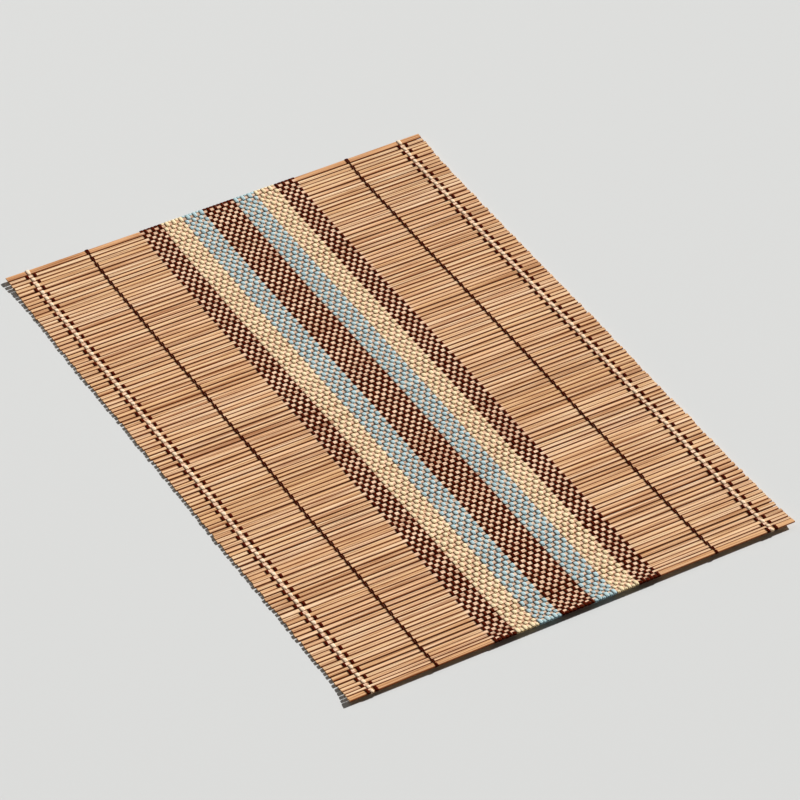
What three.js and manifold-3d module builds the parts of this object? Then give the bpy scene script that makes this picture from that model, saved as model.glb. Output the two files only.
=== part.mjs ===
// A table mat of split bamboo slats, bound side by side by cotton warp yarns that pass over and under them.
// Millimetres. X runs along the slats, Y along the mat from its near end to its far end, Z up.
// The origin is on the table, under the middle of the mat.
import * as THREE from "three";
import { mergeVertices } from "three/addons/utils/BufferGeometryUtils.js";
import Module from "manifold-3d";

const wasm = await Module();
wasm.setup();

// The mat and its slats
const MAT_LENGTH = 482;
const SLAT_COUNT = 128;
const SLAT_LENGTH = 330;
const SLAT_THICKNESS = 1.1;
const SLAT_EASING = 0.35; // the split edges are eased by this much
const SLAT_GAP = 0.85;
const GAP_SPREAD = 0.55; // the gaps are up to this share wider or narrower than the usual one
const WIDTH_SPREAD = 0.12; // slats are split up to this share wider or narrower than the usual one
const END_SPREAD = 0.5; // slat ends stand out or back by up to this much
const WEB_THICKNESS = 0.5; // the thin web that joins neighbouring slats into one sheet
const WEB_INSET = 1.5; // the slats stand free of the web by this much at their ends

// The warp yarns
const YARN_THICKNESS = 0.4;
const YARN_CLEARANCE = 0.3; // from the slats, all round
const BAND_CENTRE = 0.6;
const BAND_PITCH = 2.754; // from yarn to yarn across the striped band
const LINE_WIDTH = 2.5;
const BORDER_WIDTH = 2.4;

// Heights above the table
const SLAT_BOTTOM = YARN_THICKNESS + YARN_CLEARANCE;
const SLAT_TOP = SLAT_BOTTOM + SLAT_THICKNESS;
const WEB_BOTTOM = (SLAT_BOTTOM + SLAT_TOP - WEB_THICKNESS) / 2;

// The slats that are clearly wider or narrower than the rest, numbered from the far end.
const ODD_SLATS = [
  { slat: 1, width: 4.2 },
  { slat: 126, width: 2.5 },
  { slat: 127, width: 2.3 },
  { slat: 128, width: 4.1 },
];

// How the mat lies: at each distance from its far end, how far its slats have slipped along X, how much further
// along Y their right ends lie than their left ones, and how far their left and right ends are lifted off the
// table. Both ends of the mat curl up a little.
const LIE = [
  { fromFar: 0, slip: 0.5, skew: 0, liftLeft: 2.2, liftRight: 1.6 },
  { fromFar: 8, slip: 0.3, skew: -0.1, liftLeft: 1.75, liftRight: 1.25 },
  { fromFar: 20, slip: 0, skew: -0.3, liftLeft: 0.75, liftRight: 0.5 },
  { fromFar: 32, slip: -0.2, skew: -0.5, liftLeft: 0.1, liftRight: 0.1 },
  { fromFar: 45, slip: -0.3, skew: -0.8, liftLeft: 0, liftRight: 0 },
  { fromFar: 75, slip: -0.3, skew: -1.6, liftLeft: 0, liftRight: 0 },
  { fromFar: 108, slip: -0.75, skew: -2.1, liftLeft: 0, liftRight: 0 },
  { fromFar: 132, slip: -0.6, skew: -2.3, liftLeft: 0, liftRight: 0 },
  { fromFar: 160, slip: -0.2, skew: -2.4, liftLeft: 0, liftRight: 0 },
  { fromFar: 205, slip: -0.2, skew: -2.3, liftLeft: 0, liftRight: 0 },
  { fromFar: 240, slip: 0.2, skew: -1.7, liftLeft: 0, liftRight: 0 },
  { fromFar: 276, slip: 0.05, skew: -2, liftLeft: 0, liftRight: 0 },
  { fromFar: 324, slip: -0.3, skew: -2.3, liftLeft: 0, liftRight: 0 },
  { fromFar: 350, slip: 0.3, skew: -2.1, liftLeft: 0, liftRight: 0 },
  { fromFar: 395, slip: 0.2, skew: -1.5, liftLeft: 0, liftRight: 0 },
  { fromFar: 425, slip: 0.5, skew: -1.9, liftLeft: 0, liftRight: 0 },
  { fromFar: 445, slip: 0.7, skew: -2.1, liftLeft: 0, liftRight: 0.25 },
  { fromFar: 465, slip: 0.6, skew: -1.8, liftLeft: 0.2, liftRight: 0.9 },
  { fromFar: 475, slip: 0.5, skew: -1.6, liftLeft: 1, liftRight: 1.7 },
  { fromFar: 482, slip: 0.45, skew: -1.5, liftLeft: 2.2, liftRight: 2.8 },
];

// The stripes of the band, from left to right.
const STRIPES = [
  { colour: "brown", yarns: 6 },
  { colour: "cream", yarns: 6 },
  { colour: "blue", yarns: 6 },
  { colour: "brown", yarns: 9 },
  { colour: "blue", yarns: 6 },
  { colour: "cream", yarns: 6 },
  { colour: "brown", yarns: 6 },
];

// The single runs of yarn outside the band.
const RUNS = [
  { name: "border_left_outer", colour: "brown", x: -151.9, width: BORDER_WIDTH },
  { name: "border_left_cream", colour: "cream", x: -149, width: BORDER_WIDTH },
  { name: "border_left_inner", colour: "brown", x: -146.1, width: BORDER_WIDTH },
  { name: "line_left", colour: "brown", x: -103, width: LINE_WIDTH },
  { name: "line_right", colour: "brown", x: 105.1, width: LINE_WIDTH },
  { name: "border_right_inner", colour: "brown", x: 145.3, width: BORDER_WIDTH },
  { name: "border_right_cream", colour: "cream", x: 148.2, width: BORDER_WIDTH },
  { name: "border_right_outer", colour: "brown", x: 151.1, width: BORDER_WIDTH },
];

const MATERIALS = {
  bamboo: { color: 0xe2b88c, roughness: 0.5, metalness: 0 },
  brown: { color: 0x4a2018, roughness: 0.9, metalness: 0 },
  cream: { color: 0xeed9ad, roughness: 0.9, metalness: 0 },
  blue: { color: 0xb2c8c6, roughness: 0.9, metalness: 0 },
};

// The features of a slat that vary, each with a number for its own series of uneven values.
const FEATURE = { width: 1, leftEnd: 2, rightEnd: 3, gap: 4 };

// A steady uneven value from -1 to 1 for one feature of one slat.
function uneven(slat, feature) {
  const mixed = Math.sin(slat * 12.9898 + feature * 78.233) * 43758.5453;
  return 2 * (mixed - Math.floor(mixed)) - 1;
}

// The slip, skew and lifts of the mat at one place along it.
function lieAt(y) {
  const fromFar = THREE.MathUtils.clamp(MAT_LENGTH / 2 - y, 0, MAT_LENGTH);
  const next = Math.max(1, LIE.findIndex((row) => row.fromFar >= fromFar));
  const [a, b] = [LIE[next - 1], LIE[next]];
  const t = (fromFar - a.fromFar) / (b.fromFar - a.fromFar);
  const between = (column) => THREE.MathUtils.lerp(a[column], b[column], t);
  return {
    slip: between("slip"),
    skew: between("skew"),
    liftLeft: between("liftLeft"),
    liftRight: between("liftRight"),
  };
}

// A flat section in Y and Z, drawn out along X from left to right.
function drawOut(section, left, right) {
  const depth = right - left;
  const toX = new THREE.Matrix4().set(0, 0, 1, left, 1, 0, 0, 0, 0, 1, 0, 0, 0, 0, 0, 1);
  return new THREE.ExtrudeGeometry(section, { depth, bevelEnabled: false }).applyMatrix4(toX);
}

// Lays a flat shape down as the mat lies. A slat slips and turns as one, as its middle does; yarns follow the mat.
function settle(geometry, middle) {
  const points = geometry.getAttribute("position");
  for (let i = 0; i < points.count; i++) {
    const [x, y, z] = [points.getX(i), points.getY(i), points.getZ(i)];
    const { slip, skew } = lieAt(middle ?? y);
    const { liftLeft, liftRight } = lieAt(y);
    const lift = THREE.MathUtils.lerp(liftLeft, liftRight, x / SLAT_LENGTH + 0.5);
    points.setXYZ(i, x + slip, y + (skew * x) / SLAT_LENGTH, z + lift);
  }
  return geometry;
}

// A closed section through the points, which are pairs of Y and Z.
function sectionOf(points) {
  return new THREE.Shape(points.map(([y, z]) => new THREE.Vector2(y, z)));
}

// A rectangle with eased corners, as a slat is across.
function slatSection(near, far) {
  const e = SLAT_EASING;
  return sectionOf([
    [near + e, SLAT_BOTTOM],
    [far - e, SLAT_BOTTOM],
    [far, SLAT_BOTTOM + e],
    [far, SLAT_TOP - e],
    [far - e, SLAT_TOP],
    [near + e, SLAT_TOP],
    [near, SLAT_TOP - e],
    [near, SLAT_BOTTOM + e],
  ]);
}

function rectangle(near, far, bottom, top) {
  return [
    [near, bottom],
    [far, bottom],
    [far, top],
    [near, top],
  ];
}

// The near and far edge of each slat, from the far end of the mat to its near end.
function layOutSlats() {
  const numbers = Array.from({ length: SLAT_COUNT }, (_, i) => i + 1);
  const odd = new Map(ODD_SLATS.map(({ slat, width }) => [slat, width]));
  const share = (n) => (odd.has(n) ? 0 : 1 + WIDTH_SPREAD * uneven(n, FEATURE.width));
  const gapAfter = (n) => (n < SLAT_COUNT ? SLAT_GAP * (1 + GAP_SPREAD * uneven(n, FEATURE.gap)) : 0);
  const total = (values) => values.reduce((sum, value) => sum + value, 0);
  const split = MAT_LENGTH - total(numbers.map(gapAfter)) - total([...odd.values()]);
  const usual = split / total(numbers.map(share));
  let far = MAT_LENGTH / 2;
  return numbers.map((n) => {
    const near = far - (odd.get(n) ?? usual * share(n));
    const edges = { n, near, far, middle: (near + far) / 2 };
    far = near - gapAfter(n);
    return edges;
  });
}

// A three.js geometry as a solid that can be joined to others.
function solidOf(geometry) {
  geometry.deleteAttribute("normal");
  geometry.deleteAttribute("uv");
  const merged = mergeVertices(geometry);
  return new wasm.Manifold(
    new wasm.Mesh({
      numProp: 3,
      vertProperties: merged.getAttribute("position").array,
      triVerts: new Uint32Array(merged.index.array),
    }),
  );
}

function geometryOf(solid) {
  const { vertProperties, triVerts } = solid.getMesh();
  const geometry = new THREE.BufferGeometry();
  geometry.setAttribute("position", new THREE.BufferAttribute(vertProperties, 3));
  geometry.setIndex(new THREE.BufferAttribute(triVerts, 1));
  geometry.computeVertexNormals();
  return geometry;
}

// All slats as one ribbed sheet, with their uneven ends standing free of the web.
function slatSheet() {
  const slats = layOutSlats();
  const half = SLAT_LENGTH / 2;
  const ribs = slats.map(({ n, near, far, middle }) => {
    const left = -half + END_SPREAD * uneven(n, FEATURE.leftEnd);
    const right = half + END_SPREAD * uneven(n, FEATURE.rightEnd);
    return solidOf(settle(drawOut(slatSection(near, far), left, right), middle));
  });
  const webs = slats.slice(1).map(({ middle }, i) => {
    const across = rectangle(middle, slats[i].middle, WEB_BOTTOM, WEB_BOTTOM + WEB_THICKNESS);
    const reach = half - WEB_INSET;
    return solidOf(settle(drawOut(sectionOf(across), -reach, reach), middle));
  });
  return geometryOf([...ribs, ...webs].reduce((sheet, piece) => sheet.add(piece)));
}

// One side of a yarn loop, from one end to the other, with a point at each row of the lie.
function runAlong(nearEnd, farEnd, z) {
  const inner = LIE.slice(1, -1).map((row) => [MAT_LENGTH / 2 - row.fromFar, z]);
  return [[nearEnd, z], ...inner.reverse(), [farEnd, z]];
}

// A closed band whose section, from left to right, runs between an outer and an inner loop of Y and Z points.
function closedBand(outer, inner, left, right) {
  const corners = outer.map(([y, z], i) => [left, y, z, right, y, z, right, ...inner[i], left, ...inner[i]]);
  const faces = outer.flatMap((_, i) => {
    const [here, next] = [4 * i, 4 * ((i + 1) % outer.length)];
    return [0, 1, 2, 3].flatMap((a) => {
      const b = (a + 1) % 4;
      return [here + a, next + b, here + b, here + a, next + a, next + b];
    });
  });
  const geometry = new THREE.BufferGeometry();
  geometry.setAttribute("position", new THREE.Float32BufferAttribute(corners.flat(), 3));
  geometry.setIndex(faces);
  return geometry;
}

// A flat loop of yarns side by side, which passes over and under the slats and turns round the end ones.
function yarnLoop(left, right) {
  const loop = (out, bottom, top) => {
    const end = MAT_LENGTH / 2 + out;
    return [...runAlong(-end, end, bottom), ...runAlong(-end, end, top).reverse()];
  };
  const top = SLAT_TOP + YARN_CLEARANCE;
  const outer = loop(YARN_CLEARANCE + YARN_THICKNESS, 0, top + YARN_THICKNESS);
  const inner = loop(YARN_CLEARANCE, YARN_THICKNESS, top);
  const geometry = settle(closedBand(outer, inner, left, right));
  geometry.computeVertexNormals();
  return geometry;
}

function piece(name, finish, geometry) {
  const mesh = new THREE.Mesh(geometry, new THREE.MeshStandardMaterial(MATERIALS[finish]));
  mesh.name = name;
  return mesh;
}

function stripedBand() {
  const yarns = STRIPES.reduce((sum, stripe) => sum + stripe.yarns, 0);
  const band = new THREE.Group();
  let left = BAND_CENTRE - (yarns * BAND_PITCH) / 2;
  STRIPES.forEach((stripe, i) => {
    const right = left + stripe.yarns * BAND_PITCH;
    const loop = yarnLoop(left + YARN_CLEARANCE / 2, right - YARN_CLEARANCE / 2);
    band.add(piece(`stripe_${i + 1}_${stripe.colour}`, stripe.colour, loop));
    left = right;
  });
  return band;
}

const mat = new THREE.Group();
mat.add(piece("slats", "bamboo", slatSheet()));
mat.add(stripedBand());
RUNS.forEach(({ name, colour, x, width }) => {
  mat.add(piece(name, colour, yarnLoop(x - width / 2, x + width / 2)));
});

export default mat;
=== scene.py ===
"""Looks of a bamboo table mat: its split slats and woven cotton yarns, with floor, light and camera.

Everything is in metres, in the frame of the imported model. X runs along the slats, Y from the mat's near end
to its far end, Z up from the table.
"""

import logging
import math
from dataclasses import dataclass
from enum import Enum

import bpy
import numpy as np
from bpy.types import Material, Mesh, Node, NodeSocket, NodeTree, Object
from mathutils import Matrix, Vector


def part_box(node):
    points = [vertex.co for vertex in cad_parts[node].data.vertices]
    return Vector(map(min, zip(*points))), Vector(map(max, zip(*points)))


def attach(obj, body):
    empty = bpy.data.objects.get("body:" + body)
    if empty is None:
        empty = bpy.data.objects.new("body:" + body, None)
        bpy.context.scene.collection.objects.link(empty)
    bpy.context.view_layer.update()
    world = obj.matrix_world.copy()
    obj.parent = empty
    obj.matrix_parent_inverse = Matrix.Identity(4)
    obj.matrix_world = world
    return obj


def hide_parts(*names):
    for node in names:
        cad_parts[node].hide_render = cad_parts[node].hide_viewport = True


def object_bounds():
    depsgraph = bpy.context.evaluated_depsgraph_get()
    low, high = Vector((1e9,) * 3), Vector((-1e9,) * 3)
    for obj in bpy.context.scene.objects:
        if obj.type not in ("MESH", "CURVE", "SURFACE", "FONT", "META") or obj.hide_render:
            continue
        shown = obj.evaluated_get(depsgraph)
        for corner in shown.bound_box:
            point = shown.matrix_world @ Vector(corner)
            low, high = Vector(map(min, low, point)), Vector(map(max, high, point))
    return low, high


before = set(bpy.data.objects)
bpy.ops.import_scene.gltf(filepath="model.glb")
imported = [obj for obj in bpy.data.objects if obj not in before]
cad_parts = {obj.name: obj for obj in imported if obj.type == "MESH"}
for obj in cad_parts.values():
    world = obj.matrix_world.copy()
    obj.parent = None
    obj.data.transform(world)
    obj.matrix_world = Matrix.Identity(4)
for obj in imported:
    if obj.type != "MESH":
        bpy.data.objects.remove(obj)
CAD_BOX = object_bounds()

MM = 0.001
LOG = logging.getLogger("bamboo_mat")
# A wave texture's bands are this far apart at scale 1.
WAVE_SPACING = 0.314
# The stripes have the numbers 1 to 7, and the lines and the borders follow.
FIRST_LINE = 8
FIRST_BORDER = 10
# Strides that keep the uneven values of one yarn and the next apart.
RUN_STRIDE = 16
SWELL_STRIDE = 131
SWAY_STRIDE = 37
# These slats near the mat's ends are wider or narrower than the rest.
ODD_WIDTHS = {1: 4.2 * MM, 126: 2.5 * MM, 127: 2.3 * MM, 128: 4.1 * MM}


@dataclass(frozen=True)
class LieRow:
    """How the mat lies at one place along it, in millimetres."""

    from_far: float
    slip: float
    skew: float
    lift_left: float = 0.0
    lift_right: float = 0.0
    sag: float = 0.0


# How far the slats have slipped along X, how much further along Y their right ends lie than their left ones,
# how far their ends are lifted off the table, and how far they sag between them (or arch up, where the sag is
# negative).
LIE_ROWS = (
    LieRow(0, 0.5, 0, 2.2, 1.6, 0.55),
    LieRow(8, 0.3, -0.1, 1.75, 1.25, 0.4),
    LieRow(20, 0, -0.3, 0.75, 0.5, 0.15),
    LieRow(32, -0.2, -0.5, 0.1, 0.1),
    LieRow(45, -0.3, -0.8),
    LieRow(75, -0.3, -1.6),
    LieRow(108, -0.75, -2.1),
    LieRow(132, -0.6, -2.3),
    LieRow(160, -0.2, -2.4),
    LieRow(205, -0.2, -2.3),
    LieRow(240, 0.2, -1.7),
    LieRow(276, 0.05, -2),
    LieRow(324, -0.3, -2.3),
    LieRow(350, 0.3, -2.1),
    LieRow(395, 0.2, -1.5),
    LieRow(425, 0.5, -1.9),
    LieRow(445, 0.7, -2.1, 0, 0.25),
    LieRow(465, 0.6, -1.8, 0.3, 1.1, -0.1),
    LieRow(475, 0.5, -1.6, 1.4, 2.2, -0.35),
    LieRow(482, 0.45, -1.5, 2.7, 3.5, -0.6),
)


class Feature(Enum):
    """The features that vary from slat to slat or from yarn to yarn, each with its own series of values."""

    WIDTH = 1
    LEFT_END = 2
    RIGHT_END = 3
    GAP = 4
    BOW = 5
    SKEW = 6
    TONE = 7
    HUE = 8
    FLOAT = 9
    STUB = 10
    SWAY = 11


def uneven(number: float, feature: Feature) -> float:
    """Gives a steady uneven value for one feature of one slat or yarn.

    Args:
        number: The slat's or yarn's number.
        feature: What the value is for.

    Returns:
        A value from -1 to 1, the same in every run.
    """
    # The far digits of a sine serve as random ones.
    mixed = math.sin(number * 12.9898 + feature.value * 78.233) * 43758.5453
    return 2 * (mixed - math.floor(mixed)) - 1


def linear(colour: str) -> tuple[float, float, float, float]:
    """Turns an sRGB hex colour into the linear one that a shader takes.

    Args:
        colour: Six hex digits after a hash.

    Returns:
        Red, green, blue and alpha.
    """
    shown = [int(colour[i : i + 2], 16) / 255 for i in (1, 3, 5)]
    light = [c / 12.92 if c <= 0.04045 else ((c + 0.055) / 1.055) ** 2.4 for c in shown]
    return (*light, 1.0)


def add(tree: NodeTree, kind: str, inputs: dict | None = None, **settings: object) -> Node:
    """Adds a node to a tree.

    Args:
        tree: The shader or geometry tree.
        kind: The node's type name.
        inputs: For an input's name or number, the socket that feeds it, the node whose first output does, or
            its value.
        settings: The node's own properties.

    Returns:
        The node.
    """
    node = tree.nodes.new(kind)
    for name, value in settings.items():
        setattr(node, name, value)
    for key, value in (inputs or {}).items():
        if isinstance(value, Node):
            value = value.outputs[0]
        if isinstance(value, NodeSocket):
            tree.links.new(value, node.inputs[key])
        else:
            node.inputs[key].default_value = value
    return node


def new_shape_tree(name: str, sockets: dict[str, str]) -> tuple[NodeTree, Node]:
    """Starts a Geometry Nodes tree with named inputs.

    Args:
        name: The tree's name.
        sockets: For each input's name, its socket type without the prefix.

    Returns:
        The tree and its input node.
    """
    tree = bpy.data.node_groups.new(name, "GeometryNodeTree")
    for socket, kind in {"Geometry": "Geometry", **sockets}.items():
        tree.interface.new_socket(socket, in_out="INPUT", socket_type="NodeSocket" + kind)
    tree.interface.new_socket("Geometry", in_out="OUTPUT", socket_type="NodeSocketGeometry")
    return tree, add(tree, "NodeGroupInput")


def finish_shape_tree(tree: NodeTree, shape: Node, start: Node) -> None:
    """Ends a Geometry Nodes tree in Realize Instances and Set Material.

    Args:
        tree: The tree.
        shape: The node that gives the geometry so far.
        start: The tree's input node, which has a Material input.
    """
    real = add(tree, "GeometryNodeRealizeInstances", {"Geometry": shape})
    inputs = {"Geometry": real, "Material": start.outputs["Material"]}
    dressed = add(tree, "GeometryNodeSetMaterial", inputs)
    add(tree, "NodeGroupOutput", {"Geometry": dressed})


def run_shape_tree(name: str, source: Mesh, tree: NodeTree, values: dict) -> Object:
    """Runs a tree on a mesh and keeps the result as a plain mesh object at the origin.

    Args:
        name: The new object's name.
        source: The mesh that the tree starts from.
        tree: The tree.
        values: For each named input of the tree, its value.

    Returns:
        The new object, with no modifier.
    """
    carrier = bpy.data.objects.new(name + "_source", source)
    bpy.context.scene.collection.objects.link(carrier)
    modifier = carrier.modifiers.new("shape", "NODES")
    modifier.node_group = tree
    for item in tree.interface.items_tree:
        if item.in_out == "INPUT" and item.name in values:
            modifier[item.identifier] = values[item.name]
    graph = bpy.context.evaluated_depsgraph_get()
    shape = bpy.data.meshes.new_from_object(
        carrier.evaluated_get(graph), preserve_all_data_layers=True, depsgraph=graph
    )
    bpy.data.objects.remove(carrier)
    shape.name = name
    piece = bpy.data.objects.new(name, shape)
    bpy.context.scene.collection.objects.link(piece)
    return piece


def mesh_with(
    name: str, points: np.ndarray, edges: np.ndarray, columns: dict[str, np.ndarray]
) -> Mesh:
    """Makes a mesh of points and edges with a number for each point in each named attribute.

    Args:
        name: The mesh's name.
        points: One row of X, Y and Z for each point.
        edges: One row of two point numbers for each edge.
        columns: For each attribute's name, its values.

    Returns:
        The mesh.
    """
    mesh = bpy.data.meshes.new(name)
    mesh.from_pydata(points.tolist(), edges.tolist(), [])
    for column, values in columns.items():
        attribute = mesh.attributes.new(column, "FLOAT", "POINT")
        attribute.data.foreach_set("value", np.asarray(values, np.float32))
    return mesh


@dataclass(frozen=True)
class Bamboo:
    """Split and planed bamboo with a thin clear sealer: pale tan, with fine fibres and a satin shine.

    Each slat has its own tone, from ochre to a pinkish tan. Its split sides are darker wood, and they and the
    rounded edges of its face are also painted darker as shade. Its cut ends are painted a light tan, their
    grain colour with painted light. The mat's two end slats are cut from older, amber wood. Between the yarns
    of the band and along the borders' cream yarns the wood has stayed paler, and the blue yarns have left a
    little of their dye on it.
    """

    dark: str = "#b47f4a"
    middle: str = "#e5b98a"
    light: str = "#ffedcb"
    pink: str = "#e8ba9a"
    ochre: str = "#d2aa76"
    amber: str = "#c88a52"
    pale: str = "#fbdcc2"
    dyed: str = "#c9bfb2"
    fibre: str = "#98622f"
    # Split sides' darker wood, also painted shade on the sides and the face's rounded edges.
    side: str = "#96460a"
    # Cut ends' grain colour, made light as painted light on their shaded faces.
    end_grain_painted_lit: str = "#d8a873"
    middle_place: float = 0.45
    tone_spread: float = 0.22
    tone_shift: float = -0.09
    tint_share: float = 0.2
    roughness: float = 0.42
    fibre_length: float = 45 * MM
    fibre_width: float = 0.22 * MM
    fibre_span: tuple[float, float] = (0.3, 0.62)
    fibre_depth: float = 0.25
    streak_length: float = 70 * MM
    streak_width: float = 0.6 * MM
    streak_span: tuple[float, float] = (0.36, 0.54)
    streak_depth: float = 0.68
    patch_length: float = 38 * MM
    patch_width: float = 2.2 * MM
    relief: float = 0.04 * MM
    painted_shade_span: tuple[float, float] = (0.45, 0.97)
    end_facing: float = 0.8
    pale_share: float = 0.55
    dye_share: float = 0.5
    border_share: float = 0.7
    band_middle: float = 0.6 * MM
    band_reach: float = 62 * MM
    band_fade: float = 1.5 * MM
    blue_middle: float = 20.6 * MM
    blue_reach: float = 8.4 * MM
    border_middles: tuple[float, float] = (-149.3 * MM, 147.9 * MM)
    border_reach: float = 1.35 * MM

    def material(self) -> Material:
        """Builds the material."""
        made = bpy.data.materials.new("sealed_bamboo")
        made.use_nodes = True
        tree = made.node_tree
        tree.nodes.clear()
        place = add(tree, "ShaderNodeTexCoord").outputs["Object"]
        fibres = self._lengthwise(tree, place, self.fibre_length, self.fibre_width, detail=4.0)
        streaks = self._lengthwise(tree, place, self.streak_length, self.streak_width, detail=1.5)
        colour = self._slat_colour(tree, place)
        colour = self._darkened(tree, colour, streaks, self.streak_span, self.streak_depth)
        colour = self._darkened(tree, colour, fibres, self.fibre_span, self.fibre_depth)
        colour = self._edged(tree, colour)
        bump = add(tree, "ShaderNodeBump", {"Strength": 0.6, "Distance": self.relief, "Height": fibres})
        look = {
            "Base Color": colour,
            "Roughness": self.roughness,
            "IOR": 1.5,
            "Specular IOR Level": 0.12,
            "Normal": bump,
        }
        shader = add(tree, "ShaderNodeBsdfPrincipled", look)
        add(tree, "ShaderNodeOutputMaterial", {"Surface": shader})
        return made

    def _lengthwise(
        self, tree: NodeTree, place: NodeSocket, length: float, width: float, detail: float
    ) -> NodeSocket:
        """Draws marks that run along the slats.

        Args:
            tree: The material's tree.
            place: Object coordinates.
            length: The marks' usual length.
            width: Their usual width.
            detail: How many finer layers of them there are.

        Returns:
            A value from 0 to 1.
        """
        stretch = (1 / length, 1 / width, 1 / width)
        mapped = add(tree, "ShaderNodeMapping", {"Vector": place, "Scale": stretch})
        inputs = {"Vector": mapped, "Scale": 1.0, "Detail": detail, "Roughness": 0.6}
        return add(tree, "ShaderNodeTexNoise", inputs).outputs[0]

    def _slat_colour(self, tree: NodeTree, place: NodeSocket) -> NodeSocket:
        """Mixes each slat's own tone with soft patches along it.

        Args:
            tree: The material's tree.
            place: Object coordinates.

        Returns:
            The colour.
        """
        names = ("tone", "hue", "old")
        read = [add(tree, "ShaderNodeAttribute", attribute_name=name) for name in names]
        tone, hue, old = (node.outputs["Fac"] for node in read)
        patch = self._lengthwise(tree, place, self.patch_length, self.patch_width, detail=3.0)
        own = {0: tone, 1: self.tone_spread, 2: self.tone_shift}
        own = add(tree, "ShaderNodeMath", own, operation="MULTIPLY_ADD")
        mixed = add(tree, "ShaderNodeMath", {0: patch, 1: own}, operation="ADD")
        body = add(tree, "ShaderNodeValToRGB", {0: mixed})
        ramp = body.color_ramp
        ramp.elements[0].color = linear(self.dark)
        ramp.elements[1].color = linear(self.light)
        ramp.elements.new(self.middle_place).color = linear(self.middle)
        tint = {0: hue, 6: linear(self.ochre), 7: linear(self.pink)}
        tint = add(tree, "ShaderNodeMix", tint, data_type="RGBA").outputs[2]
        for veil, other in ((self.tint_share, tint), (old, linear(self.amber))):
            mix = {0: veil, 6: body, 7: other}
            body = add(tree, "ShaderNodeMix", mix, data_type="RGBA").outputs[2]
        return self._within_band(tree, place, body)

    def _within_band(self, tree: NodeTree, place: NodeSocket, colour: NodeSocket) -> NodeSocket:
        """Makes the wood paler in the band and along the cream borders, and dyed between the blue yarns.

        Args:
            tree: The material's tree.
            place: Object coordinates.
            colour: The colour so far.

        Returns:
            The colour.
        """
        along = add(tree, "ShaderNodeSeparateXYZ", {0: place})
        aside = add(tree, "ShaderNodeMath", {0: along, 1: self.band_middle}, operation="SUBTRACT")
        aside = add(tree, "ShaderNodeMath", {0: aside}, operation="ABSOLUTE")
        fade = {
            "Value": aside,
            "From Min": self.band_reach - self.band_fade,
            "From Max": self.band_reach + self.band_fade,
            "To Min": self.pale_share,
            "To Max": 0.0,
        }
        veils = [(add(tree, "ShaderNodeMapRange", fade), self.pale)]
        strips = [(aside, self.blue_middle, self.blue_reach, self.dye_share, self.dyed)]
        for middle in self.border_middles:
            strips.append((along, middle, self.border_reach, self.border_share, self.pale))
        for across, middle, reach, share, tone in strips:
            within = add(tree, "ShaderNodeMath", {0: across, 1: middle, 2: reach}, operation="COMPARE")
            veil = add(tree, "ShaderNodeMath", {0: within, 1: share}, operation="MULTIPLY")
            veils.append((veil, tone))
        for veil, tone in veils:
            mix = {0: veil, 6: colour, 7: linear(tone)}
            colour = add(tree, "ShaderNodeMix", mix, data_type="RGBA").outputs[2]
        return colour

    def _darkened(
        self, tree: NodeTree, colour: NodeSocket, marks: NodeSocket, span: tuple[float, float], depth: float
    ) -> NodeSocket:
        """Darkens a colour in the marks of a pattern.

        Args:
            tree: The material's tree.
            colour: The colour so far.
            marks: The pattern.
            span: The pattern's values where a mark is darkest and where it ends.
            depth: How strong the darkest mark is, from 0 to 1.

        Returns:
            The colour.
        """
        inputs = {"Value": marks, "From Min": span[0], "From Max": span[1]}
        clear = add(tree, "ShaderNodeMapRange", inputs, interpolation_type="SMOOTHSTEP")
        veil = {0: clear, 6: linear(self.fibre), 7: linear("#ffffff")}
        veil = add(tree, "ShaderNodeMix", veil, data_type="RGBA").outputs[2]
        inputs = {0: depth, 6: colour, 7: veil}
        return add(tree, "ShaderNodeMix", inputs, data_type="RGBA", blend_type="MULTIPLY").outputs[2]

    def _edged(self, tree: NodeTree, colour: NodeSocket) -> NodeSocket:
        """Darkens the split sides and the face's rounded edges, partly darker wood and partly painted shade,
        and paints the cut ends a light tan, their grain colour with painted light.

        Args:
            tree: The material's tree.
            colour: The colour so far.

        Returns:
            The colour.
        """
        normal = add(tree, "ShaderNodeNewGeometry").outputs["Normal"]
        facing = add(tree, "ShaderNodeSeparateXYZ", {0: normal})
        level = add(tree, "ShaderNodeMath", {0: facing.outputs[2]}, operation="ABSOLUTE")
        low, high = self.painted_shade_span
        # Painted shade: the face's rounded edges and the split sides go towards the side colour.
        rim = {"Value": level, "From Min": low, "From Max": high, "To Min": 1.0, "To Max": 0.0}
        painted_side_shade = add(tree, "ShaderNodeMapRange", rim, interpolation_type="SMOOTHSTEP")
        edged = {0: painted_side_shade, 6: colour, 7: linear(self.side)}
        edged = add(tree, "ShaderNodeMix", edged, data_type="RGBA").outputs[2]
        # Painted light: the cut ends get a light tan over their grain colour.
        along = add(tree, "ShaderNodeMath", {0: facing.outputs[0]}, operation="ABSOLUTE")
        at_end = add(tree, "ShaderNodeMath", {0: along, 1: self.end_facing}, operation="GREATER_THAN")
        ended = {0: at_end, 6: edged, 7: linear(self.end_grain_painted_lit)}
        return add(tree, "ShaderNodeMix", ended, data_type="RGBA").outputs[2]


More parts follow.
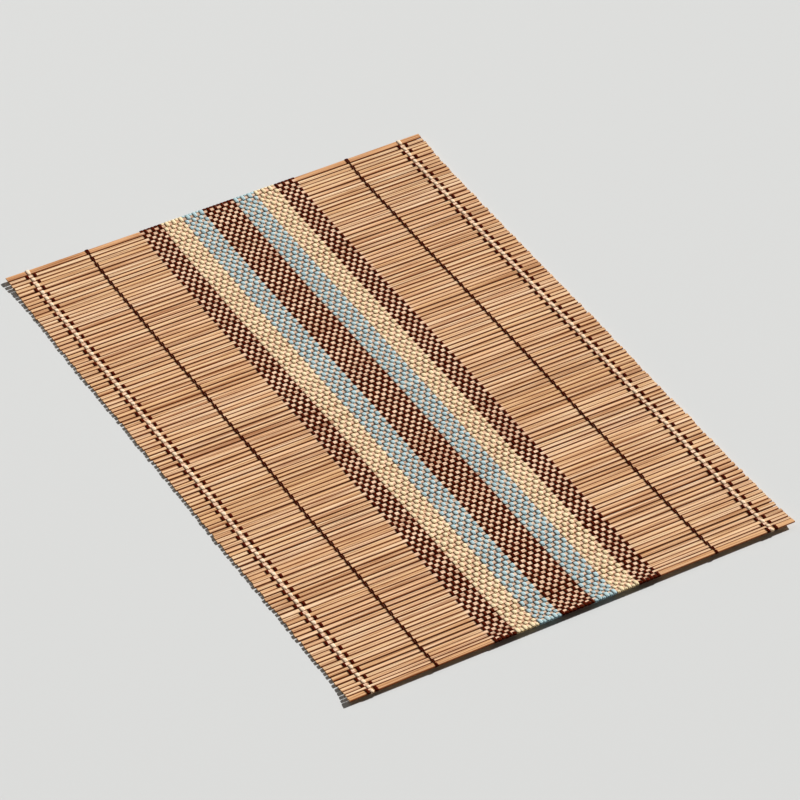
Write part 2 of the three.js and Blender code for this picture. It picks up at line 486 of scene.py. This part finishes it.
@dataclass(frozen=True)
class CottonYarn:
    """Soft plied cotton yarn: matt, fuzzy, with slanting grooves between its plies."""

    name: str
    slot: str
    # The ramp's ends are painted shade in the ply grooves and a painted highlight on the plies' crests.
    painted_groove_shade: str
    body: str
    painted_crest_highlight: str
    body_place: float = 0.42
    dip_shade: float = 0.5
    ply_share: float = 0.45
    fuzz_share: float = 0.7
    hair: tuple[float, float, float] = (0.12 * MM, 0.9 * MM, 0.5 * MM)
    ply_pitch: float = 0.85 * MM
    ply_slant: float = 38.0
    relief: float = 0.12 * MM
    roughness: float = 0.85

    def material(self) -> Material:
        """Builds the material."""
        made = bpy.data.materials.new("plied_cotton_" + self.name)
        made.use_nodes = True
        tree = made.node_tree
        tree.nodes.clear()
        height = self._plies(tree)
        read = [add(tree, "ShaderNodeAttribute", attribute_name=name) for name in ("tone", "dive_shade")]
        tone, dive_shade = (node.outputs["Fac"] for node in read)
        # Painted shade: the colour darkens where the yarn dives between the slats.
        tone = add(tree, "ShaderNodeMath", {0: dive_shade, 1: -self.dip_shade, 2: tone}, operation="MULTIPLY_ADD")
        shade = {0: height, 1: self.ply_share, 2: tone}
        shade = add(tree, "ShaderNodeMath", shade, operation="MULTIPLY_ADD")
        # Painted shade and highlight: the ramp darkens the ply grooves and the dives, and lightens the
        # crests.
        colour = add(tree, "ShaderNodeValToRGB", {0: shade})
        ramp = colour.color_ramp
        ramp.elements[0].color = linear(self.painted_groove_shade)
        ramp.elements[1].color = linear(self.painted_crest_highlight)
        ramp.elements.new(self.body_place).color = linear(self.body)
        bump = add(tree, "ShaderNodeBump", {"Strength": 0.7, "Distance": self.relief, "Height": height})
        look = {
            "Base Color": colour,
            "Roughness": self.roughness,
            "IOR": 1.46,
            "Specular IOR Level": 0.02,
            "Sheen Weight": 0.02,
            "Sheen Roughness": 0.5,
            "Sheen Tint": linear(self.painted_crest_highlight),
            "Normal": bump,
        }
        shader = add(tree, "ShaderNodeBsdfPrincipled", look)
        add(tree, "ShaderNodeOutputMaterial", {"Surface": shader})
        return made

    def _plies(self, tree: NodeTree) -> Node:
        """Draws the slanting plies and the fuzz on them.

        Args:
            tree: The material's tree.

        Returns:
            The node that gives their height, from 0 to about 1.5.
        """
        place = add(tree, "ShaderNodeTexCoord").outputs["Object"]
        turn = (0.0, 0.0, math.radians(self.ply_slant))
        turned = add(tree, "ShaderNodeMapping", {"Vector": place, "Rotation": turn})
        scale = WAVE_SPACING / self.ply_pitch
        wave = {"Vector": turned, "Scale": scale, "Distortion": 1.6, "Detail": 1.0}
        plies = add(tree, "ShaderNodeTexWave", wave, bands_direction="Y").outputs[1]
        stretch = tuple(1 / size for size in self.hair)
        hairs = add(tree, "ShaderNodeMapping", {"Vector": turned, "Scale": stretch})
        fuzz = add(tree, "ShaderNodeTexNoise", {"Vector": hairs, "Scale": 1.0, "Detail": 3.0})
        fuzzy = {0: fuzz, 1: self.fuzz_share, 2: plies}
        return add(tree, "ShaderNodeMath", fuzzy, operation="MULTIPLY_ADD")


class Dye(Enum):
    """The yarn colours, each with the record's slot for it."""

    # Each dye gives its painted groove shade, its own colour, and its painted crest highlight.
    BROWN = CottonYarn("brown", "brown_yarn", "#230500", "#4a1203", "#7a2e17")
    CREAM = CottonYarn("cream", "cream_yarn", "#8f7440", "#f6e0b6", "#fff0d2")
    BLUE = CottonYarn("blue", "blue_yarn", "#4a6b74", "#b4cdd0", "#d5e4e4")
    BLEACHED = CottonYarn("bleached", "cream_yarn", "#9c7c58", "#f9dcba", "#fff0dc")


@dataclass(frozen=True)
class Lie:
    """How the mat lies on the table, from its far end to its near one."""

    rows: tuple[LieRow, ...] = LIE_ROWS
    mat_length: float = 482 * MM
    slat_length: float = 330 * MM
    smoothing: float = 4.0

    def at(self, y: np.ndarray | float, column: str) -> np.ndarray | float:
        """Reads one column at one place or many, smoothed over a few slats.

        Args:
            y: The place along Y.
            column: The column of the table.

        Returns:
            The slip, skew, lift or sag, in metres.
        """
        from_far = (self.mat_length / 2 - y) / MM
        places = [row.from_far for row in self.rows]
        values = [getattr(row, column) for row in self.rows]
        around = (-self.smoothing, 0, self.smoothing)
        return sum(np.interp(from_far + step, places, values) for step in around) / len(around) * MM

    def settled(self, points: np.ndarray) -> np.ndarray:
        """Lays flat points down as the mat lies.

        Args:
            points: One row of X, Y and Z for each point.

        Returns:
            The moved points.
        """
        x, y, z = points.T
        left, right, sag, slip, skew = (
            self.at(y, column) for column in ("lift_left", "lift_right", "sag", "slip", "skew")
        )
        along = x / self.slat_length
        rise = left + (right - left) * (along + 0.5) - sag * (1 - 4 * along**2)
        return np.stack([x + slip, y + skew * along, z + rise], 1)


@dataclass(frozen=True)
class Slat:
    """One slat's place across the mat, in metres."""

    number: int
    near: float
    far: float

    @property
    def middle(self) -> float:
        """The slat's middle along Y."""
        return (self.near + self.far) / 2

    @property
    def width(self) -> float:
        """The slat's width."""
        return self.far - self.near


@dataclass
class BambooSlats:
    """The 128 slats that the mat is made of, each a little wider at its underside than at its face."""

    lie: Lie
    count: int = 128
    gap: float = 0.85 * MM
    gap_spread: float = 0.55
    thickness: float = 1.1 * MM
    upper_easing: float = 0.55 * MM
    lower_easing: float = 0.1 * MM
    upper_inset: float = 0.06 * MM
    lower_flare: float = 0.16 * MM
    hug: float = 0.3 * MM
    width_spread: float = 0.12
    end_spread: float = 0.5 * MM
    bow: float = 0.1 * MM
    skew: float = 0.22 * MM
    waviness: float = 0.22 * MM
    wave_length: float = 40 * MM
    wave_width: float = 2.2 * MM
    seed: float = 3.0
    age: float = 0.4
    sharp_angle: float = 50.0
    stations: int = 22
    node: str = "slats"

    def __post_init__(self) -> None:
        """Takes the slats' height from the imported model, less what soft yarns give way under them."""
        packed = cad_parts[self.node].data.vertices
        self.bottom = min(v.co.z for v in packed) - self.hug
        self.slats = self._lay_out()

    @property
    def level(self) -> float:
        """The height of the slats' middle where the mat lies flat."""
        return self.bottom + self.thickness / 2

    def _lay_out(self) -> list[Slat]:
        """Shares the mat's length out over the slats and gaps, from the far end to the near one."""
        numbers = range(1, self.count + 1)
        usual_ones = [n for n in numbers if n not in ODD_WIDTHS]
        shares = {n: 1 + self.width_spread * uneven(n, Feature.WIDTH) for n in usual_ones}
        gaps = {n: self.gap * (1 + self.gap_spread * uneven(n, Feature.GAP)) for n in numbers[:-1]}
        split = self.lie.mat_length - sum(gaps.values()) - sum(ODD_WIDTHS.values())
        usual = split / sum(shares.values())
        slats, far = [], self.lie.mat_length / 2
        for n in numbers:
            width = ODD_WIDTHS.get(n) or usual * shares[n]
            slats.append(Slat(n, far - width, far))
            far -= width + gaps.get(n, 0)
        return slats

    def _source(self) -> Mesh:
        """Makes one point for each slat, with its sizes, lie and unevenness as attributes."""
        half = self.lie.slat_length / 2
        points, rows = [], []
        for s in self.slats:
            n = s.number
            left = -half + self.end_spread * uneven(n, Feature.LEFT_END)
            right = half + self.end_spread * uneven(n, Feature.RIGHT_END)
            ends = np.array([(0, s.far, 0), (0, s.middle, 0), (0, s.near, 0)])
            far, middle, near = self.lie.settled(ends)
            lifts = ("lift_left", "lift_right", "sag")
            points.append(((left + right) / 2 + middle[0], s.middle, self.level))
            rows.append(
                (
                    right - left,
                    s.width,
                    s.middle,
                    *(self.lie.at(s.middle, column) for column in lifts),
                    (far[2] - near[2]) / s.width,
                    self.bow * uneven(n, Feature.BOW),
                    self.lie.at(s.middle, "skew") + self.skew * uneven(n, Feature.SKEW),
                    0.5 + 0.5 * uneven(n, Feature.TONE),
                    0.5 + 0.5 * uneven(n, Feature.HUE),
                    self.age if n in (1, self.count) else 0.0,
                )
            )
        names = "long wide middle left right sag tilt bow skew tone hue old"
        columns = dict(zip(names.split(), np.array(rows).T))
        return mesh_with("slat_places", np.array(points), np.zeros((0, 2), int), columns)

    def _tree(self) -> NodeTree:
        """Builds the tree that puts an eased, slightly wavy slat at each point."""
        sizes = ("Usual Length", "Usual Width", "Thickness", "Upper Easing", "Lower Easing", "Upper Inset")
        sockets = dict.fromkeys((*sizes, "Lower Flare", "Waviness", "Seed"), "Float")
        sockets |= {"Stations": "Int", "Material": "Material"}
        tree, start = new_shape_tree("slat_rows", sockets)
        given = start.outputs
        blank = self._blank(tree, given)
        names = ("long", "wide")
        long, wide = (add(tree, "GeometryNodeInputNamedAttribute", {"Name": name}) for name in names)
        stretch = {
            0: add(tree, "ShaderNodeMath", {0: long, 1: given["Usual Length"]}, operation="DIVIDE"),
            1: add(tree, "ShaderNodeMath", {0: wide, 1: given["Usual Width"]}, operation="DIVIDE"),
            2: 1.0,
        }
        scale = add(tree, "ShaderNodeCombineXYZ", stretch)
        inputs = {"Points": given["Geometry"], "Instance": blank, "Scale": scale}
        placed = add(tree, "GeometryNodeInstanceOnPoints", inputs)
        slats = add(tree, "GeometryNodeRealizeInstances", {"Geometry": placed})
        offset = self._unevenness(tree, given)
        moved = add(tree, "GeometryNodeSetPosition", {"Geometry": slats, "Offset": offset})
        finish_shape_tree(tree, self._shaded(tree, moved), start)
        return tree

    @staticmethod
    def _blank(tree: NodeTree, given: bpy.types.bpy_prop_collection) -> Node:
        """Builds one usual slat along X, with a narrower rounded face and a wider sharp underside.

        Args:
            tree: The tree.
            given: The tree's inputs.

        Returns:
            The node that gives the slat.
        """
        half = add(tree, "ShaderNodeMath", {0: given["Usual Length"], 1: 0.5}, operation="MULTIPLY")
        back = add(tree, "ShaderNodeMath", {0: half, 1: -1.0}, operation="MULTIPLY")
        ends = [add(tree, "ShaderNodeCombineXYZ", {0: x}) for x in (back, half)]
        spine = add(tree, "GeometryNodeCurvePrimitiveLine", {"Start": ends[0], "End": ends[1]})
        inputs = {"Curve": spine, "Count": given["Stations"]}
        spine = add(tree, "GeometryNodeResampleCurve", inputs, mode="COUNT")
        face = {0: given["Upper Inset"], 1: -2.0, 2: given["Usual Width"]}
        under = {0: given["Lower Flare"], 1: 2.0, 2: given["Usual Width"]}
        # The section is swept upside down, so its own top is the slat's underside.
        across = {
            "Bottom Width": add(tree, "ShaderNodeMath", face, operation="MULTIPLY_ADD"),
            "Top Width": add(tree, "ShaderNodeMath", under, operation="MULTIPLY_ADD"),
            "Height": given["Thickness"],
            "Offset": 0.0,
        }
        section = add(tree, "GeometryNodeCurvePrimitiveQuadrilateral", across, mode="TRAPEZOID")
        place = add(tree, "GeometryNodeInputPosition")
        corner = add(tree, "ShaderNodeSeparateXYZ", {0: place}).outputs[1]
        under = add(tree, "ShaderNodeMath", {0: corner, 1: 0.0}, operation="GREATER_THAN")
        easing = {0: under, 2: given["Upper Easing"], 3: given["Lower Easing"]}
        easing = add(tree, "ShaderNodeMix", easing)
        inputs = {"Curve": section, "Count": 3, "Radius": easing}
        section = add(tree, "GeometryNodeFilletCurve", inputs, mode="POLY")
        inputs = {"Curve": spine, "Profile Curve": section, "Fill Caps": True}
        return add(tree, "GeometryNodeCurveToMesh", inputs)

    def _unevenness(self, tree: NodeTree, given: bpy.types.bpy_prop_collection) -> Node:
        """Works out how far each point of the slats lies from where it would in a flat, even mat.

        Args:
            tree: The tree.
            given: The tree's inputs.

        Returns:
            The node that gives the offset.
        """
        names = ("middle", "left", "right", "sag", "tilt", "bow", "skew")
        own = {name: add(tree, "GeometryNodeInputNamedAttribute", {"Name": name}) for name in names}
        place = add(tree, "GeometryNodeInputPosition")
        split = add(tree, "ShaderNodeSeparateXYZ", {0: place})
        along = add(tree, "ShaderNodeMath", {0: split, 1: given["Usual Length"]}, operation="DIVIDE")
        squared = add(tree, "ShaderNodeMath", {0: along, 1: along}, operation="MULTIPLY")
        arch = add(tree, "ShaderNodeMath", {0: squared, 1: -4.0, 2: 1.0}, operation="MULTIPLY_ADD")
        turned = add(tree, "ShaderNodeMath", {0: along, 1: own["skew"]}, operation="MULTIPLY")
        aside = add(tree, "ShaderNodeMath", {0: arch, 1: own["bow"], 2: turned}, operation="MULTIPLY_ADD")
        share = add(tree, "ShaderNodeMath", {0: along, 1: 0.5}, operation="ADD")
        lift = add(tree, "ShaderNodeMix", {0: share, 2: own["left"], 3: own["right"]})
        down = add(tree, "ShaderNodeMath", {0: own["sag"], 1: -1.0}, operation="MULTIPLY")
        up = add(tree, "ShaderNodeMath", {0: arch, 1: down, 2: lift}, operation="MULTIPLY_ADD")
        off = add(tree, "ShaderNodeMath", {0: split.outputs[1], 1: own["middle"]}, operation="SUBTRACT")
        up = add(tree, "ShaderNodeMath", {0: off, 1: own["tilt"], 2: up}, operation="MULTIPLY_ADD")
        rigid = add(tree, "ShaderNodeCombineXYZ", {1: aside, 2: up})
        # Each edge of each slat has its own waves.
        stretch = (1 / self.wave_length, 1 / self.wave_width, 1 / self.wave_width)
        mapped = add(tree, "ShaderNodeVectorMath", {0: place, 1: stretch}, operation="MULTIPLY")
        inputs = {"Vector": mapped, "W": given["Seed"], "Scale": 1.0, "Detail": 1.0}
        noise = add(tree, "ShaderNodeTexNoise", inputs, noise_dimensions="4D").outputs[1]
        centred = {0: noise, 1: (0.5, 0.5, 0.5)}
        centred = add(tree, "ShaderNodeVectorMath", centred, operation="SUBTRACT")
        low = add(tree, "ShaderNodeMath", {0: given["Waviness"], 1: 0.5}, operation="MULTIPLY")
        reach = add(tree, "ShaderNodeCombineXYZ", {1: given["Waviness"], 2: low})
        return add(tree, "ShaderNodeVectorMath", {0: centred, 1: reach, 2: rigid}, operation="MULTIPLY_ADD")

    def _shaded(self, tree: NodeTree, shape: Node) -> Node:
        """Shades the slats smooth along and flat at their cut ends.

        Args:
            tree: The tree.
            shape: The node that gives the slats.

        Returns:
            The node that gives the shaded slats.
        """
        smooth = add(tree, "GeometryNodeSetShadeSmooth", {"Geometry": shape}, domain="FACE")
        angle = add(tree, "GeometryNodeInputMeshEdgeAngle")
        limit = {"A": angle, "B": math.radians(self.sharp_angle)}
        sharp = add(tree, "FunctionNodeCompare", limit, operation="GREATER_THAN")
        inputs = {"Geometry": smooth, "Selection": sharp, "Shade Smooth": False}
        return add(tree, "GeometryNodeSetShadeSmooth", inputs, domain="EDGE")

    def build(self, material: Material) -> Object:
        """Builds all slats as one piece.

        Args:
            material: The bamboo.

        Returns:
            The piece.
        """
        widths = [s.width for s in self.slats]
        values = {
            "Usual Length": self.lie.slat_length,
            "Usual Width": sum(widths) / len(widths),
            "Thickness": self.thickness,
            "Upper Easing": self.upper_easing,
            "Lower Easing": self.lower_easing,
            "Upper Inset": self.upper_inset,
            "Lower Flare": self.lower_flare,
            "Stations": self.stations,
            "Waviness": self.waviness,
            "Seed": self.seed,
            "Material": material,
        }
        return run_shape_tree("bamboo_slats", self._source(), self._tree(), values)


@dataclass(frozen=True)
class YarnSize:
    """A yarn's half width and half height where it floats over a slat and where it dives between two."""

    float_half_width: float
    float_half_height: float
    dive_half_width: float
    dive_half_height: float
    under_half_height: float = 0.19 * MM


BROWN_YARN = YarnSize(1.1 * MM, 0.36 * MM, 1.34 * MM, 0.23 * MM)
CREAM_YARN = YarnSize(1.38 * MM, 0.36 * MM, 1.22 * MM, 0.23 * MM)
BLUE_YARN = YarnSize(1.46 * MM, 0.36 * MM, 1.26 * MM, 0.23 * MM)
LINE_YARN = YarnSize(0.5 * MM, 0.33 * MM, 0.44 * MM, 0.22 * MM)
BORDER_YARN = YarnSize(1.12 * MM, 0.36 * MM, 1.2 * MM, 0.23 * MM)


@dataclass(frozen=True)
class Yarn:
    """One warp yarn: its place along X, and whether it floats over the slats with even numbers."""

    x: float
    over_even: bool


@dataclass(frozen=True)
class Station:
    """One place on a yarn's path: how far it stands aside, its place along Y, its height and half sizes."""

    sway: float
    y: float
    z: float
    half_width: float
    half_height: float


@dataclass
class WovenRun:
    """A stripe, line or border of warp yarns, woven over and under the slats."""

    node: str
    dye: Dye
    size: YarnSize
    yarns: list[Yarn]
    slats: BambooSlats
    number: int
    hidden_ends: bool = False
    sides: int = 8
    bend_angle: float = 42.0
    press: float = 0.04 * MM
    swell: float = 0.07
    sway: float = 0.12 * MM
    tone: float = 0.06
    stub: float = 1.8 * MM
    stub_spread: float = 0.5 * MM
    tuck: float = 1.8 * MM
    turn_clearance: float = 0.06 * MM
    turn_step: float = 0.1 * MM
    turn_height: float = 0.86
    tip_width: float = 0.9

    def _path(self, yarn: Yarn, number: int) -> tuple[np.ndarray, np.ndarray]:
        """Follows one yarn over and under the slats.

        Args:
            yarn: The yarn.
            number: The yarn's number in the mat, for its unevenness.

        Returns:
            The points along the yarn, and for each its half width, half height, tone and painted dive shade.
        """
        slats, half = self.slats.slats, self.slats.thickness / 2
        stations = []
        for i, slat in enumerate(slats):
            side = 1 if (slat.number % 2 == 0) == yarn.over_even else -1
            swell = 1 + self.swell * uneven(slat.number + SWELL_STRIDE * number, Feature.FLOAT)
            sway = self.sway * uneven(slat.number + SWAY_STRIDE * number, Feature.SWAY)
            if i == 0:
                stations.extend(self._end(slat, side, 1, number))
            for way, bend in ((1, True), (1, False), (0, False), (-1, False), (-1, True)):
                stations.append(self._over(slat, side, way, bend, sway, swell))
            if i + 1 < len(slats):
                stations.append(self._dive(slat, slats[i + 1]))
            else:
                stations.extend(self._end(slat, side, -1, number))
        tone = self.tone * uneven(number, Feature.TONE)
        points = [(yarn.x + s.sway, s.y, self.slats.level + s.z) for s in stations]
        # The last column is painted shade, highest where the yarn passes between the slats.
        sizes = [(s.half_width, s.half_height, tone, max(0.0, 1 - abs(s.z) / half) ** 0.5) for s in stations]
        return self.slats.lie.settled(np.array(points)), np.array(sizes)

    def _dive(self, slat: Slat, following: Slat) -> Station:
        """Finds where a yarn passes between two slats, pressed thin where they stand close.

        Args:
            slat: The slat at the gap's far side.
            following: The slat at its near side.

        Returns:
            The place.
        """
        size, gap = self.size, slat.near - following.far
        high = min(size.dive_half_height, gap / 2 + self.press)
        return Station(0.0, (slat.near + following.far) / 2, 0.0, size.dive_half_width, high)

    def _over(self, slat: Slat, side: int, way: int, bend: bool, sway: float, swell: float) -> Station:
        """Finds one place of a float, which lies on its slat's face and bends round its edges.

        Args:
            slat: The slat under or over the float.
            side: 1 where the yarn floats over the slat, -1 where it lies under it.
            way: 1 at the slat's far edge, 0 at its middle, -1 at its near edge.
            bend: Whether the place is in the bend round the edge, and not on the face.
            sway: How far the float stands aside.
            swell: How much wider than usual the float is.

        Returns:
            The place.
        """
        size, body = self.size, self.slats
        turn = math.radians(self.bend_angle if bend else 0)
        flat = size.float_half_height if side > 0 else size.under_half_height
        high = (flat + min(flat, size.dive_half_height)) / 2 if bend else flat
        wide = (size.float_half_width + size.dive_half_width) / 2 if bend else size.float_half_width
        easing = body.upper_easing if side > 0 else body.lower_easing
        edge = slat.width / 2 + (-body.upper_inset if side > 0 else body.lower_flare)
        reach = easing + high
        y = slat.middle + way * (edge - easing + reach * math.sin(turn))
        z = body.thickness / 2 - easing + reach * math.cos(turn)
        return Station(sway, y, side * z, wide * swell, high)

    def _end(self, slat: Slat, side: int, way: int, number: int) -> list[Station]:
        """Turns a yarn round the outer edge of the first or last slat.

        Args:
            slat: The end slat.
            side: 1 where the yarn floats over it, -1 where it lies under it.
            way: 1 at the far end, -1 at the near end.
            number: The yarn's number, for how long its stub is.

        Returns:
            The places, in the order from far to near.
        """
        if self.hidden_ends and side < 0 < way:
            return []
        size, half = self.size, self.slats.thickness / 2
        edge = (slat.far if way > 0 else slat.near) + way * self.slats.lower_flare
        stub = self.stub + self.stub_spread * uneven(number, Feature.STUB)
        reach = self.tuck if side > 0 else stub
        high, across = size.under_half_height, size.dive_half_width
        out = edge + way * (high + self.turn_clearance)
        face = -side * (half + high)
        turn = [
            Station(0.0, out, 0.0, across, high),
            Station(0.0, edge - way * self.turn_step, face * self.turn_height, across, high),
            Station(0.0, edge - way * reach, face, across * self.tip_width, high),
        ]
        return turn[::-1] if way > 0 else turn

    def build(self, tree: NodeTree, material: Material) -> Object:
        """Builds the run's yarns as one piece.

        Args:
            tree: The tree that gives a yarn its body.
            material: The run's yarn.

        Returns:
            The piece.
        """
        points, edges, sizes, first = [], [], [], 0
        for k, yarn in enumerate(self.yarns):
            path, size = self._path(yarn, self.number * RUN_STRIDE + k)
            points.append(path)
            sizes.append(size)
            steps = np.arange(first, first + len(path) - 1)
            edges.append(np.stack([steps, steps + 1], 1))
            first += len(path)
        table = np.concatenate(sizes)
        names = ("half_width", "half_height", "tone", "dive_shade")
        columns = dict(zip(names, table.T))
        source = mesh_with(self.node + "_paths", np.concatenate(points), np.concatenate(edges), columns)
        values = {"Sides": self.sides, "Material": material}
        return run_shape_tree(self.node + "_yarns", source, tree, values)


def yarn_tree() -> NodeTree:
    """Builds the tree that sweeps a flattened round section along each yarn's path."""
    tree, start = new_shape_tree("yarn_bodies", {"Sides": "Int", "Material": "Material"})
    path = add(tree, "GeometryNodeMeshToCurve", {"Mesh": start.outputs["Geometry"]})
    place = add(tree, "GeometryNodeInputPosition")
    kept = {"Geometry": path, "Name": "heart", "Value": place}
    path = add(tree, "GeometryNodeStoreNamedAttribute", kept, data_type="FLOAT_VECTOR", domain="POINT")
    section = {"Resolution": start.outputs["Sides"], "Radius": 1.0}
    section = add(tree, "GeometryNodeCurvePrimitiveCircle", section)
    tube = add(tree, "GeometryNodeCurveToMesh", {"Curve": path, "Profile Curve": section, "Fill Caps": True})
    heart = add(tree, "GeometryNodeInputNamedAttribute", {"Name": "heart"}, data_type="FLOAT_VECTOR")
    names = ("half_width", "half_height")
    wide, high = (add(tree, "GeometryNodeInputNamedAttribute", {"Name": name}) for name in names)
    reach = add(tree, "ShaderNodeCombineXYZ", {0: wide, 1: high, 2: high})
    out = add(tree, "ShaderNodeVectorMath", {0: place, 1: heart}, operation="SUBTRACT")
    skin = add(tree, "ShaderNodeVectorMath", {0: out, 1: reach, 2: heart}, operation="MULTIPLY_ADD")
    shaped = add(tree, "GeometryNodeSetPosition", {"Geometry": tube, "Position": skin})
    for column in ("heart", *names):
        shaped = add(tree, "GeometryNodeRemoveAttribute", {"Geometry": shaped, "Name": column})
    smooth = add(tree, "GeometryNodeSetShadeSmooth", {"Geometry": shaped})
    finish_shape_tree(tree, smooth, start)
    return tree


@dataclass
class Warp:
    """All warp yarns: the striped band, the two dark lines and the two borders."""

    slats: BambooSlats
    pitch: float = 2.754 * MM
    strand_pitch: float = 0.7 * MM
    cream_offset: float = 0.28 * MM

    @staticmethod
    def centre(node: str) -> float:
        """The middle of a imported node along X."""
        low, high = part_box(node)
        return (low.x + high.x) / 2

    def runs(self) -> list[WovenRun]:
        """Lists every run of yarns, from the band outwards."""
        return self._band() + self._lines() + self._borders()

    def _band(self) -> list[WovenRun]:
        """Lists the seven stripes of the band, which share one weave."""
        made, before = [], 0
        outer = ((Dye.BROWN, BROWN_YARN, 6), (Dye.CREAM, CREAM_YARN, 6), (Dye.BLUE, BLUE_YARN, 6))
        stripes = (*outer, (Dye.BROWN, BROWN_YARN, 9), *outer[::-1])
        for number, (dye, size, count) in enumerate(stripes, start=1):
            node = f"stripe_{number}_{dye.name.lower()}"
            places = [self.centre(node) + (k - (count - 1) / 2) * self.pitch for k in range(count)]
            yarns = [Yarn(x, (before + k) % 2 == 0) for k, x in enumerate(places)]
            made.append(WovenRun(node, dye, size, yarns, self.slats, number))
            before += count
        return made

    def _lines(self) -> list[WovenRun]:
        """Lists the two dark lines, each of three thin strands side by side."""
        made = []
        for number, node in enumerate(("line_left", "line_right"), start=FIRST_LINE):
            strands = [Yarn(self.centre(node) + k * self.strand_pitch, k == 0) for k in (-1, 0, 1)]
            made.append(WovenRun(node, Dye.BROWN, LINE_YARN, strands, self.slats, number))
        return made

    def _borders(self) -> list[WovenRun]:
        """Lists the single yarns that bind the slats near their ends."""
        made = []
        for side in ("left", "right"):
            for place in ("outer", "cream", "inner"):
                node, brown = f"border_{side}_{place}", place != "cream"
                x = self.centre(node) - (0 if brown else self.cream_offset)
                dye, size = (Dye.BROWN, BORDER_YARN) if brown else (Dye.BLEACHED, CREAM_YARN)
                number = FIRST_BORDER + len(made)
                yarns = [Yarn(x, brown)]
                made.append(WovenRun(node, dye, size, yarns, self.slats, number, hidden_ends=True))
        return made


@dataclass
class Studio:
    """A plain pale floor, soft light from the back right, and the camera at the photograph's angle."""

    floor_colour: str = "#c6c7c6"
    floor_size: float = 8.0
    floor_roughness: float = 0.8
    azimuth: float = 30.14
    elevation: float = 40.59
    distance: float = 2.9246
    lens: float = 196.58
    aim: tuple[float, float, float] = (6.9 * MM, -6.0 * MM, 1.45 * MM)
    key_azimuth: float = 81.0
    key_elevation: float = 38.0
    key_spread: float = 2.0
    key_strength: float = 5.45
    fill_azimuth: float = -20.0
    fill_elevation: float = 60.0
    fill_distance: float = 2.2
    fill_size: float = 1.6
    fill_power: float = 6.0
    sky_colour: str = "#fff4e6"
    sky_strength: float = 0.08

    @staticmethod
    def direction(azimuth: float, elevation: float) -> Vector:
        """The way from an azimuth, counted from +Y towards +X, and an elevation, both in degrees."""
        a, e = math.radians(azimuth), math.radians(elevation)
        return Vector((math.sin(a) * math.cos(e), math.cos(a) * math.cos(e), math.sin(e)))

    def build(self) -> None:
        """Builds the floor, the lights and the camera."""
        self._floor()
        self._lights()
        self._sky()
        self._camera()

    def _floor(self) -> None:
        """Lays the pale floor at the height that the mat rests on."""
        half, z = self.floor_size / 2, CAD_BOX[0].z
        mesh = bpy.data.meshes.new("floor")
        corners = [(-half, -half, z), (half, -half, z), (half, half, z), (-half, half, z)]
        mesh.from_pydata(corners, [], [(0, 1, 2, 3)])
        floor = bpy.data.objects.new("floor", mesh)
        bpy.context.scene.collection.objects.link(floor)
        material = bpy.data.materials.new("painted_floor")
        material.use_nodes = True
        shader = material.node_tree.nodes["Principled BSDF"]
        shader.inputs["Base Color"].default_value = linear(self.floor_colour)
        shader.inputs["Roughness"].default_value = self.floor_roughness
        mesh.materials.append(material)

    def _lights(self) -> None:
        """Hangs a far light at the back right and a square soft one above the far left."""
        key = bpy.data.lights.new("key", "SUN")
        key.angle = math.radians(self.key_spread)
        key.energy = self.key_strength
        fill = bpy.data.lights.new("fill", "AREA")
        fill.size = self.fill_size
        fill.energy = self.fill_power
        key_place = self.direction(self.key_azimuth, self.key_elevation)
        fill_place = self.direction(self.fill_azimuth, self.fill_elevation) * self.fill_distance
        for lamp, place in ((key, key_place), (fill, fill_place)):
            light = bpy.data.objects.new(lamp.name, lamp)
            light.location = place
            light.rotation_euler = place.to_track_quat("Z", "Y").to_euler()
            bpy.context.scene.collection.objects.link(light)

    def _sky(self) -> None:
        """Fills the rest of the room with a weak warm light, and shows colours as they are."""
        world = bpy.data.worlds.new("studio")
        world.use_nodes = True
        background = world.node_tree.nodes["Background"]
        background.inputs["Color"].default_value = linear(self.sky_colour)
        background.inputs["Strength"].default_value = self.sky_strength
        bpy.context.scene.world = world
        bpy.context.scene.view_settings.view_transform = "Standard"

    def _camera(self) -> None:
        """Places the camera, with the mat framed as in the photograph."""
        lens = bpy.data.cameras.new("camera")
        lens.lens = self.lens
        lens.sensor_width = 36.0
        lens.clip_end = 50.0
        camera = bpy.data.objects.new("camera", lens)
        back = -self.direction(self.azimuth, -self.elevation)
        camera.location = Vector(self.aim) + back * self.distance
        camera.rotation_euler = back.to_track_quat("Z", "Y").to_euler()
        bpy.context.scene.collection.objects.link(camera)
        bpy.context.scene.camera = camera


def declare(piece: Object, node: str) -> None:
    """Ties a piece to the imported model.

    Args:
        piece: The finished piece.
        node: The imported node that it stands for.
    """
    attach(piece, "root")
    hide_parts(node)
    LOG.info("%s: %d faces", piece.name, len(piece.data.polygons))


def main() -> None:
    logging.basicConfig(level=logging.INFO, format="%(message)s")
    Studio().build()
    lie = Lie()
    slats = BambooSlats(lie)
    mat = slats.build(Bamboo().material())
    declare(mat, slats.node)
    tree = yarn_tree()
    yarns = {dye: dye.value.material() for dye in Dye}
    for run in Warp(slats).runs():
        piece = run.build(tree, yarns[run.dye])
        declare(piece, run.node)


if __name__ == "__main__":
    main()
